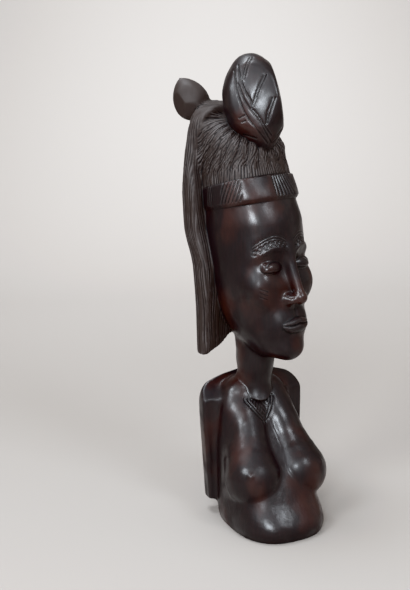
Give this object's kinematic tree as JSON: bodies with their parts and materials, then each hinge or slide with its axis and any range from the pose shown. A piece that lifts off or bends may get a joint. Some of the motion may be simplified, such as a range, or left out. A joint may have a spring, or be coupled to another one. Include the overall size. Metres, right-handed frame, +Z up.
{
  "type": "wooden female bust",
  "caption": "Carved dark hardwood bust of a woman with a tall pointed hairdo, headband and long hair down the back, standing on its flat underside.",
  "frame": {"origin": "the middle of the flat underside, on the surface the bust stands on", "axes": "+Z up, the figure faces -Y, +X is the figure's left; the head is turned 16 degrees towards +X"},
  "size_m": [0.1053, 0.1517, 0.4027],
  "materials": {
    "ebony": "dark hardwood, carved, stained nearly black and wax polished"
  },
  "bodies": {
    "root": {"bust": "ebony"}
  },
  "joints": []
}
